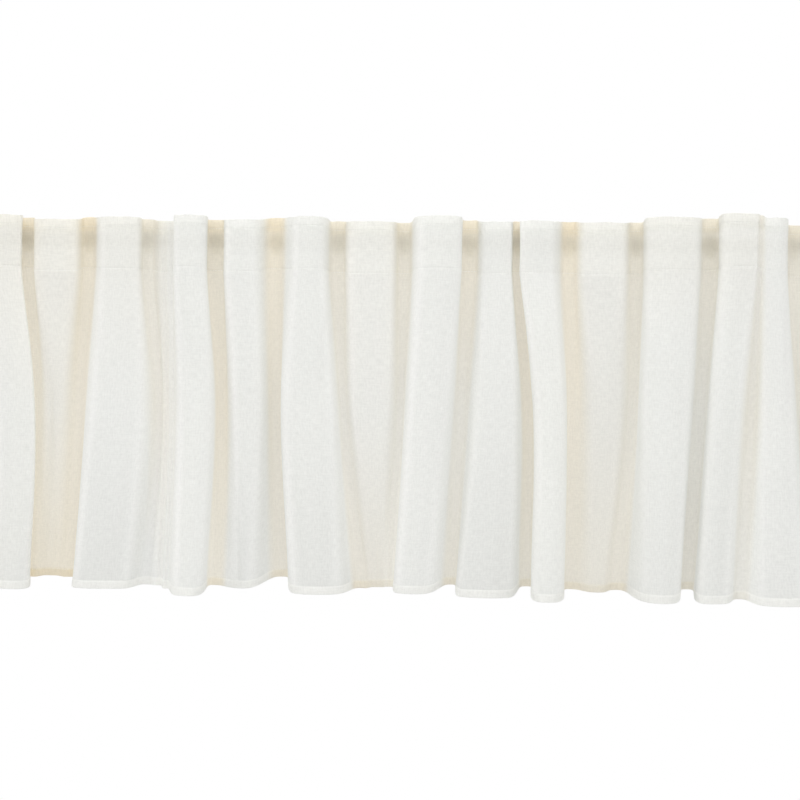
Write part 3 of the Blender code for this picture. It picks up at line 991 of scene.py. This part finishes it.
def rod_material():
    """Painted steel: a fine orange-peel surface, and its paint a little duller in patches."""
    material, nodes, links = new_material("painted_rod")
    where = nodes.new("ShaderNodeTexCoord")
    patches = nodes.new("ShaderNodeTexNoise")
    patches.inputs["Scale"].default_value = 30.0
    patches.inputs["Detail"].default_value = 4.0
    links.new(where.outputs["Object"], patches.inputs["Vector"])
    color = nodes.new("ShaderNodeMix")
    color.data_type = "RGBA"
    color.inputs[6].default_value = (*ROD_COLOR, 1)
    color.inputs[7].default_value = (*(c * 0.86 for c in ROD_COLOR), 1)
    links.new(patches.outputs["Fac"], color.inputs[0])
    rough = nodes.new("ShaderNodeMapRange")
    rough.inputs["To Min"].default_value = 0.32
    rough.inputs["To Max"].default_value = 0.5
    links.new(patches.outputs["Fac"], rough.inputs["Value"])
    peel = nodes.new("ShaderNodeTexNoise")
    peel.inputs["Scale"].default_value = 900.0
    links.new(where.outputs["Object"], peel.inputs["Vector"])
    bump = nodes.new("ShaderNodeBump")
    bump.inputs["Strength"].default_value = 0.15
    bump.inputs["Distance"].default_value = 0.0002
    links.new(peel.outputs["Fac"], bump.inputs["Height"])
    shader = nodes.new("ShaderNodeBsdfPrincipled")
    links.new(color.outputs[2], shader.inputs["Base Color"])
    links.new(rough.outputs[0], shader.inputs["Roughness"])
    links.new(bump.outputs[0], shader.inputs["Normal"])
    out = nodes.new("ShaderNodeOutputMaterial")
    links.new(shader.outputs[0], out.inputs["Surface"])
    return material


def floor_material():
    """A plain pale floor, matt, with the faintest mottling."""
    material, nodes, links = new_material("pale_floor")
    where = nodes.new("ShaderNodeTexCoord")
    mottle = nodes.new("ShaderNodeTexNoise")
    mottle.inputs["Scale"].default_value = 3.0
    links.new(where.outputs["Object"], mottle.inputs["Vector"])
    color = nodes.new("ShaderNodeMix")
    color.data_type = "RGBA"
    color.inputs[6].default_value = (0.80, 0.80, 0.80, 1)
    color.inputs[7].default_value = (0.83, 0.83, 0.83, 1)
    links.new(mottle.outputs["Fac"], color.inputs[0])
    shader = nodes.new("ShaderNodeBsdfPrincipled")
    shader.inputs["Roughness"].default_value = 0.9
    links.new(color.outputs[2], shader.inputs["Base Color"])
    out = nodes.new("ShaderNodeOutputMaterial")
    links.new(shader.outputs[0], out.inputs["Surface"])
    return material


def make_floor():
    """A round floor far below the valance: a fan of points on a circle."""
    angle = np.arange(96) / 96 * 2 * math.pi
    ring = np.column_stack([np.cos(angle), np.sin(angle), np.zeros(96)]) * FLOOR_RADIUS
    ring[:, 2] = FLOOR_Z
    mesh = bpy.data.meshes.new("floor")
    mesh.from_pydata(ring.tolist(), [], [list(range(96))])
    mesh.materials.append(floor_material())
    floor = bpy.data.objects.new("floor", mesh)
    bpy.context.scene.collection.objects.link(floor)
    return floor


def make_camera():
    """The camera at the photograph's angle: a little to the right of square on, level, with the
    slight roll that the rod and the hem show."""
    data = bpy.data.cameras.new("camera")
    data.sensor_width = SENSOR_WIDTH
    data.lens = SENSOR_WIDTH * (CAMERA_DISTANCE / PIXEL_AT_ROD) / PICTURE_SIZE
    data.clip_end = 50
    made = bpy.data.objects.new("camera", data)
    x = CAMERA_DISTANCE * math.sin(CAMERA_TURN)
    y = -CAMERA_DISTANCE * math.cos(CAMERA_TURN)
    made.location = (x, y, -(PICTURE_SIZE / 2 - ROD_PIXEL_ROW) * PIXEL_AT_ROD)
    turn = Matrix.Rotation(CAMERA_TURN, 3, "Z")
    level = Matrix.Rotation(math.radians(90), 3, "X")
    roll = Matrix.Rotation(CAMERA_ROLL, 3, "Z")
    made.rotation_euler = (turn @ level @ roll).to_euler()
    bpy.context.scene.collection.objects.link(made)
    bpy.context.scene.camera = made


def make_light(name, place, target, size, power):
    """A large soft panel that faces the target."""
    data = bpy.data.lights.new(name, "AREA")
    data.shape = "RECTANGLE"
    data.size, data.size_y = size
    data.energy = power
    made = bpy.data.objects.new(name, data)
    made.location = place
    made.rotation_euler = (Vector(target) - Vector(place)).to_track_quat("-Z", "Y").to_euler()
    bpy.context.scene.collection.objects.link(made)


def make_surroundings():
    """White all round as the camera sees it. As light it is softer, and dimmer from below than from
    above."""
    world = bpy.data.worlds.new("studio")
    bpy.context.scene.world = world
    world.use_nodes = True
    nodes, links = world.node_tree.nodes, world.node_tree.links
    nodes.clear()
    where = nodes.new("ShaderNodeTexCoord")
    split = nodes.new("ShaderNodeSeparateXYZ")
    links.new(where.outputs["Generated"], split.inputs[0])
    height = nodes.new("ShaderNodeMapRange")
    height.inputs["From Min"].default_value = -0.6
    height.inputs["From Max"].default_value = 0.6
    height.inputs["To Min"].default_value = FOOT_AMBIENT
    height.inputs["To Max"].default_value = HEAD_AMBIENT
    links.new(split.outputs[2], height.inputs["Value"])
    light = nodes.new("ShaderNodeBackground")
    light.inputs[0].default_value = (1, 1, 1, 1)
    links.new(height.outputs[0], light.inputs["Strength"])
    seen = nodes.new("ShaderNodeBackground")
    seen.inputs[0].default_value = (1, 1, 1, 1)
    seen.inputs["Strength"].default_value = BACKDROP
    path = nodes.new("ShaderNodeLightPath")
    mix = nodes.new("ShaderNodeMixShader")
    links.new(path.outputs["Is Camera Ray"], mix.inputs[0])
    links.new(light.outputs[0], mix.inputs[1])
    links.new(seen.outputs[0], mix.inputs[2])
    out = nodes.new("ShaderNodeOutputWorld")
    links.new(mix.outputs[0], out.inputs["Surface"])


def main():
    """Builds the finishes, the pieces, each attached to the root body, and the studio round them."""
    weave = weave_group()
    cloth_finish = cloth_material(weave)
    tape_finish = tape_material("heading_tape_weave", weave, TAPE_OPEN)
    loop_finish = tape_material("rod_loop_weave", weave, LOOP_OPEN)
    thread_finish = thread_material()
    rod_finish = rod_material()

    cloth = make_cloth(cloth_finish)
    tape = make_tape(tape_finish)
    rod = make_rod(rod_finish)
    seams = [
        make_stitches("top_seam_stitches", TOP_SEAM, RUFFLE_LAYER, thread_finish, 1),
        make_stitches("low_seam_stitches", LOW_SEAM, 0.0, thread_finish, 2),
        make_stitches("hem_stitches", HEM_SEAM, HEM_LAYER * 0.5, thread_finish, 3),
    ]
    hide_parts("valance_cloth")
    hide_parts("heading_tape")
    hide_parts("curtain_rod")
    for made, slot in ((cloth, "cloth"), (tape, "tape"), (rod, "rod")):
        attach(made, "root")
    for seam in seams:
        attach(seam, "root")
    places = [HEADING_EDGE.x]
    places += [fold.valley_x for fold in HEADING if fold.valley_out == ON_ROD]
    for number, x in enumerate(places, 1):
        loop = make_loop(number, x, loop_finish)
        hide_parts(f"rod_loop_{number:02d}")
        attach(loop, "root")

    make_floor()
    make_camera()
    make_light("key", KEY_PLACE, (0, 0, 0), KEY_SIZE, KEY_POWER)
    for side, power, name in zip((-1, 1), SIDE_POWERS, ("left_fill", "right_fill")):
        place = (side * SIDE_PLACE[0], *SIDE_PLACE[1:])
        make_light(name, place, (0, 0, -0.2), SIDE_SIZE, power)
    make_surroundings()
    bpy.context.scene.view_settings.view_transform = "Standard"


main()
